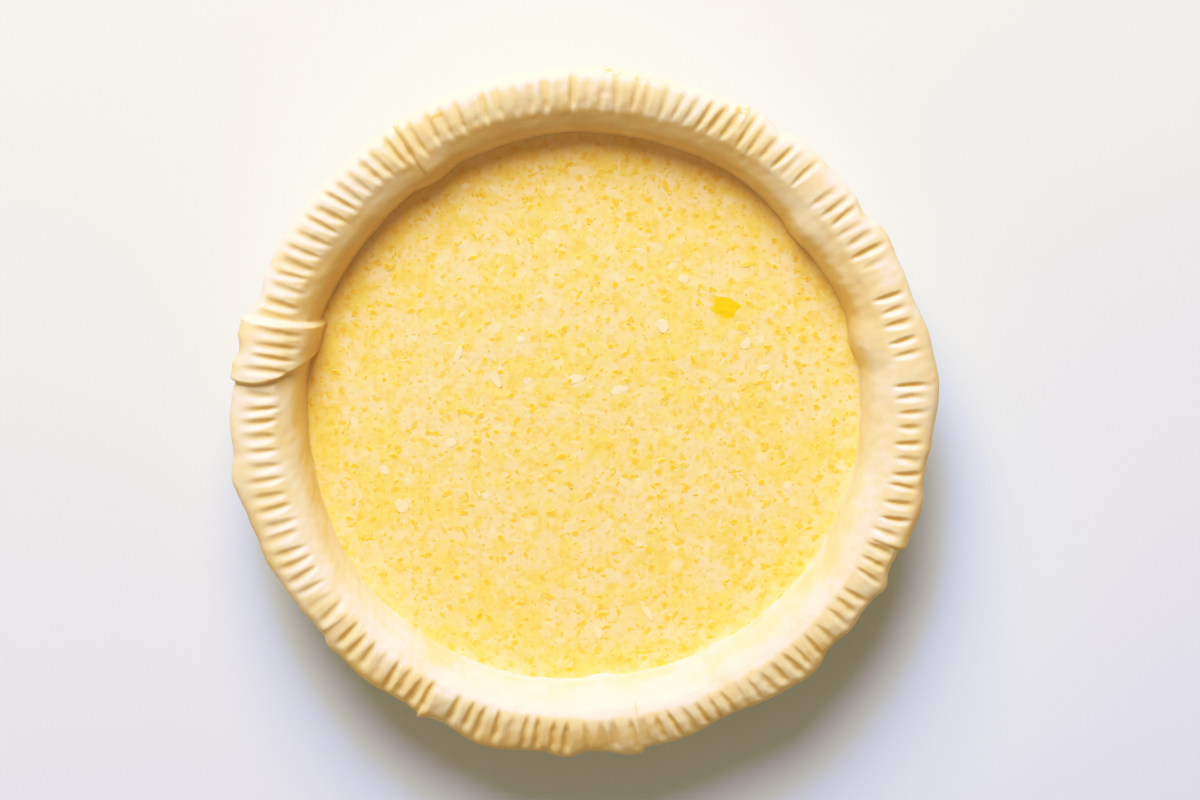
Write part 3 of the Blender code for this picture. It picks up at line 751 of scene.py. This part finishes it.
def custard(settings):
    """Yellow custard, mottled: creamy over sunk coconut, nearly white where a shred lies just under the surface,
    deeper where yolk gathers, dotted with fine golden specks and with bright blobs of butter."""
    finish = Finish("custard", 0.3)
    cloud = finish.maths("MULTIPLY_ADD", finish.noise(0.0068, detail=3, distortion=0.8), 0.6,
                         finish.maths("MULTIPLY", finish.noise(0.022, detail=2), 0.4))
    yolk_patches = finish.levels(finish.noise(0.0046, detail=2, distortion=0.5), 0.50, 0.70)
    fine_specks = finish.levels(finish.noise(0.0021, detail=1), 0.50, 0.72)
    layers = ((0.7, yolk_patches, settings.yolk_colour),
              (0.3, fine_specks, settings.speck_colour),
              (0.8, finish.spots(0.0105, 0.30, 0.4, 0.5), settings.coconut_colour),
              (0.6, finish.spots(0.0062, 0.28, 0.3, 0.7), settings.coconut_colour),
              (0.5, finish.spots(0.0027, 0.34, 0.45), settings.speck_colour),
              (0.7, finish.spots(0.0061, 0.30, 0.35, 0.8), settings.blob_colour))
    colour = finish.mix(finish.levels(cloud, 0.40, 0.60), settings.base_colour, settings.cream_colour)
    for strength, share, tone in layers:
        colour = finish.mix(finish.maths("MULTIPLY", share, strength), colour, tone)
    finish.shade({"Base Color": colour, "Coat Weight": 0.2, "Coat Roughness": 0.25})
    finish.bump(finish.noise(0.0022, detail=3), 0.0003, 0.3)
    finish.skin(0.25, (1.0, 0.6, 0.2), 0.0012)
    return finish.material


def speckled(name, first, second, custard_colour):
    """A soft wet finish whose colour drifts between two tones from place to place, and runs into the custard's
    colour at the sunk edges."""
    finish = Finish(name, 0.32)
    colour = finish.mix(finish.levels(finish.noise(0.006, detail=2), 0.35, 0.65), first, second)
    sunk = finish.levels(finish.attribute("sunk"), 0.05, 1)
    finish.shade({"Base Color": finish.mix(sunk, colour, custard_colour)})
    return finish.material


def white_glaze():
    """Plain white glaze over stoneware, a little uneven."""
    finish = Finish("white_glaze", 0.16)
    tone = finish.levels(finish.noise(0.05, detail=3), 0.35, 0.65)
    finish.shade({"Base Color": finish.mix(tone, (0.80, 0.79, 0.76), (0.84, 0.83, 0.81)),
                  "Coat Weight": 0.5, "Coat Roughness": 0.08})
    finish.bump(finish.noise(0.012, detail=2), 0.0004, 0.12)
    return finish.material


class PIE_OT_dish(bpy.types.Operator):
    """Make the glazed pie dish"""

    bl_idname = "pie.dish"
    bl_label = "Dish"

    def execute(self, context):
        points, faces = dish_surface()
        dish = made_mesh("pie_dish", points, faces, white_glaze())
        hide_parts("dish")
        return {"FINISHED"}


class PIE_OT_crust(bpy.types.Operator):
    """Make the raw dough crust with its crimped rim"""

    bl_idname = "pie.crust"
    bl_label = "Crust"

    def execute(self, context):
        settings = context.scene.pie_crust
        points, faces, shares = crust_surface(settings)
        crust = made_mesh("dough_crust", points, faces, raw_dough(settings), shares)
        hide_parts("crust")
        return {"FINISHED"}


class PIE_OT_filling(bpy.types.Operator):
    """Pour the coconut filling"""

    bl_idname = "pie.filling"
    bl_label = "Filling"

    def execute(self, context):
        points, faces = filling_surface()
        filling = made_mesh("custard_filling", points, faces, custard(context.scene.pie_filling))
        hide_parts("filling")
        return {"FINISHED"}


def topping(name, shape, material):
    """A piece that lies in the filling's surface."""
    points, faces, sunk = shape
    piece = made_mesh(name, points, faces, material, {"sunk": sunk})


class PIE_OT_coconut(bpy.types.Operator):
    """Scatter coconut shreds and flakes over the filling"""

    bl_idname = "pie.coconut"
    bl_label = "Coconut"

    def execute(self, context):
        look = context.scene.pie_filling
        draw = np.random.default_rng(SEED + 3)
        shreds = scattered_strips(look.shreds, 0.0962, 0.4, (0.003, 0.007), (0.001, 0.0022), 0.5, draw)
        topping("coconut_shreds", shreds,
                speckled("coconut", look.cream_colour, look.coconut_colour, look.base_colour))
        topping("coconut_flakes", placed_beads(COCONUT_FLAKES, 0.00004),
                speckled("white_coconut", look.coconut_colour, look.flake_colour, look.cream_colour))
        return {"FINISHED"}


class PIE_OT_butter(bpy.types.Operator):
    """Scatter butter specks, strands and lumps over the filling"""

    bl_idname = "pie.butter"
    bl_label = "Butter"

    def execute(self, context):
        look = context.scene.pie_filling
        draw = np.random.default_rng(SEED + 4)
        places = scatter(look.specks, 0.0975, 0.7, 0.0075, draw)
        count = len(places)
        size = 0.0005 + 0.0012 * draw.random(count) ** 3
        specks = beads(places, size, draw.uniform(0.00001, 0.00003, count), draw.uniform(1.0, 1.5, count),
                       draw.uniform(0, math.pi, count))
        topping("butter_specks", specks,
                speckled("butter_specks", look.speck_colour, look.blob_colour, look.base_colour))
        strands = scattered_strips(look.strands, 0.0965, 0.8, (0.002, 0.0045), (0.0008, 0.0018), 0.4, draw)
        topping("yolk_strands", strands,
                speckled("yolk_strands", look.yolk_colour, look.blob_colour, look.base_colour))
        topping("butter_pieces", placed_beads(BUTTER_PIECES, 0.00005),
                speckled("pale_butter", look.blob_colour, look.yolk_colour, look.base_colour))
        topping("butter_lump", lump_surface(BIG_LUMP_PLACE, BIG_LUMP_OUTLINE, 0.00008),
                speckled("butter", look.butter_colour, look.butter_colour, look.base_colour))
        return {"FINISHED"}


class PIE_OT_stage(bpy.types.Operator):
    """Make the floor, the lights and the camera"""

    bl_idname = "pie.stage"
    bl_label = "Stage"

    def execute(self, context):
        settings = context.scene.pie_stage
        add_floor(settings)
        add_lights(context.scene, settings)
        add_camera(context.scene, settings)
        return {"FINISHED"}


def add_floor(settings):
    """A wide pale worktop with painted shade: a little bluer and greener within 20 cm of where the pie's shadow
    falls.
    """
    finish = Finish("pale_worktop", 0.5)
    # Painted shade: the worktop's tint shifts towards blue where the pie's shadow falls, to colour that shadow
    shade_middle, shadow_tint = (0.03, -0.06, 0), (0.79, 0.83, 0.65)
    near = finish.levels(finish.distance(shade_middle), 0.10, 0.20, 1, 0)
    finish.shade({"Base Color": finish.mix(near, settings.floor_colour, shadow_tint)})
    half = 2.5
    mesh = bpy.data.meshes.new("worktop")
    mesh.from_pydata([(-half, -half, 0), (half, -half, 0), (half, half, 0), (-half, half, 0)], [], [(0, 1, 2, 3)])
    mesh.materials.append(finish.material)
    floor = bpy.data.objects.new("worktop", mesh)
    bpy.context.scene.collection.objects.link(floor)


def light_from(scene, name, azimuth, elevation, distance, size, power, colour):
    """A round soft light at this bearing, facing the pie."""
    lamp = bpy.data.lights.new(name, "AREA")
    lamp.shape = "DISK"
    lamp.size = size
    lamp.energy = power
    lamp.color = colour
    light = bpy.data.objects.new(name, lamp)
    around, up = math.radians(azimuth), math.radians(elevation)
    place = Vector((math.cos(around) * math.cos(up), math.sin(around) * math.cos(up), math.sin(up))) * distance
    light.location = place
    light.rotation_euler = (-place).to_track_quat("-Z", "Y").to_euler()
    scene.collection.objects.link(light)


def add_lights(scene, settings):
    """A soft key light from the far side, a weak one from the left, and pale light from all round."""
    light_from(scene, "key_light", 99, 38.0, 2.0, 1.35, settings.key_strength, (0.906, 0.849, 1.0))
    light_from(scene, "left_light", 195, 40, 1.5, 1.0, settings.left_strength, (1.0, 0.93, 0.80))
    world = bpy.data.worlds.new("studio")
    world.use_nodes = True
    background = world.node_tree.nodes["Background"]
    background.inputs["Color"].default_value = (1.0, 0.92, 0.92, 1)
    background.inputs["Strength"].default_value = settings.fill_strength
    scene.world = world
    develop(scene.view_settings)


def develop(view):
    """The camera's own response: deeper shadows, and highlights that roll off to white."""
    view.view_transform = "Standard"
    view.use_curve_mapping = True
    mapping = view.curve_mapping
    mapping.white_level = (BRIGHTEST,) * 3
    curve = mapping.curves[3]
    for light, shown in TONES:
        curve.points.new(light / BRIGHTEST, shown)
    for curve, tones in ((mapping.curves[1], GREEN_TONES), (mapping.curves[2], BLUE_TONES)):
        for light, shown in tones:
            curve.points.new(light / BRIGHTEST, shown / BRIGHTEST)
    mapping.update()


# Light that reaches the camera, and what it shows of it, fitted so that the colours meet the photograph's
BRIGHTEST = 1.3
TONES = ((0.05, 0.032), (0.1, 0.073), (0.2, 0.172), (0.35, 0.355), (0.5, 0.53), (0.7, 0.735), (0.85, 0.865),
         (1.0, 0.955), (1.15, 0.99))
GREEN_TONES = ((0.1, 0.093), (0.2, 0.184), (0.3, 0.283), (0.4, 0.392), (0.48, 0.487), (0.56, 0.585),
               (0.64, 0.668), (0.72, 0.743), (0.82, 0.833), (0.95, 0.955))
BLUE_TONES = (
    (0.066, 0.047), (0.115, 0.084), (0.16, 0.122), (0.2, 0.187), (0.24, 0.255), (0.28, 0.31), (0.34, 0.38),
    (0.38, 0.44), (0.41, 0.52), (0.44, 0.61), (0.48, 0.7), (0.54, 0.76), (0.62, 0.795), (0.72, 0.82), (0.82, 0.855),
    (0.95, 0.9),
)


def add_camera(scene, settings):
    """A long lens that stands a little to the far side and faces the rim's middle. Its frame holds 428 mm
    there."""
    width_seen = 0.4277
    aim = Vector((0.0055, 0.0062, 0.038))
    back = Vector((0, math.sin(settings.camera_tilt), math.cos(settings.camera_tilt)))
    right = Vector((1, 0, 0))
    lens = bpy.data.cameras.new("camera")
    lens.sensor_width = 36
    lens.lens = lens.sensor_width * settings.camera_distance / width_seen
    camera = bpy.data.objects.new("camera", lens)
    camera.location = aim + back * settings.camera_distance
    camera.rotation_euler = Matrix((right, back.cross(right), back)).transposed().to_euler()
    scene.collection.objects.link(camera)
    scene.camera = camera


class PIE_PT_panel(bpy.types.Panel):
    """Lists the pie's pieces and settings"""

    bl_idname = "PIE_PT_panel"
    bl_label = "Coconut pie"
    bl_space_type = "VIEW_3D"
    bl_region_type = "UI"
    bl_category = "Pie"

    def draw(self, context):
        for operator in OPERATORS:
            self.layout.operator(operator.bl_idname)
        for name, group in SETTINGS.items():
            box = self.layout.box()
            for value in group.__annotations__:
                box.prop(getattr(context.scene, name), value)


SETTINGS = {"pie_crust": CrustSettings, "pie_filling": FillingSettings, "pie_stage": StageSettings}
OPERATORS = (PIE_OT_dish, PIE_OT_crust, PIE_OT_filling, PIE_OT_coconut, PIE_OT_butter, PIE_OT_stage)


def register():
    for group in SETTINGS.values():
        bpy.utils.register_class(group)
    for name, group in SETTINGS.items():
        setattr(bpy.types.Scene, name, PointerProperty(type=group))
    for operator in OPERATORS:
        bpy.utils.register_class(operator)
    bpy.utils.register_class(PIE_PT_panel)


def unregister():
    bpy.utils.unregister_class(PIE_PT_panel)
    for operator in reversed(OPERATORS):
        bpy.utils.unregister_class(operator)
    for name in SETTINGS:
        delattr(bpy.types.Scene, name)
    for group in reversed(SETTINGS.values()):
        bpy.utils.unregister_class(group)


def main():
    register()
    bpy.ops.pie.dish()
    bpy.ops.pie.crust()
    bpy.ops.pie.filling()
    bpy.ops.pie.coconut()
    bpy.ops.pie.butter()
    bpy.ops.pie.stage()


if __name__ == "__main__":
    main()
